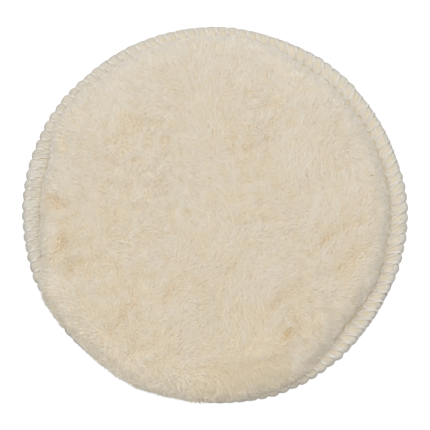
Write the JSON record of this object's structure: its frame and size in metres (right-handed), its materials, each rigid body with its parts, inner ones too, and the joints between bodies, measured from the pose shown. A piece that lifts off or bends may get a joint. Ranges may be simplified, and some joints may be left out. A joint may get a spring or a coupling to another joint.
{
  "type": "polishing pad",
  "caption": "Round wool polishing pad, overlocked round its edge, with a hook-and-loop cloth back for a machine's backing plate.",
  "frame": {"origin": "centre of the loop face, the lowest face of the pad", "axes": "+Z out of the loop face through the pad towards the wool, +X through the middle of one stitch hole, +Y completes a right-handed frame"},
  "size_m": [0.13, 0.13, 0.016],
  "materials": {
    "wool": "cream sheared wool, soft and matte",
    "hide": "pale tanned skin, suede side out",
    "glue": "thin cured bonding film",
    "loop_ground": "off-white knitted ground",
    "loop_nap": "off-white brushed loops",
    "needle_thread": "plied spun thread, slight lustre",
    "looper_thread": "bulky plied thread, soft lustre"
  },
  "bodies": {
    "root": {"wool_pile": "wool", "hide_disc": "hide", "glue_film": "glue", "loop_ground_cloth": "loop_ground", "loop_nap": "loop_nap", "needle_thread": "needle_thread", "upper_looper_thread": "looper_thread", "lower_looper_thread": "looper_thread"}
  },
  "joints": []
}
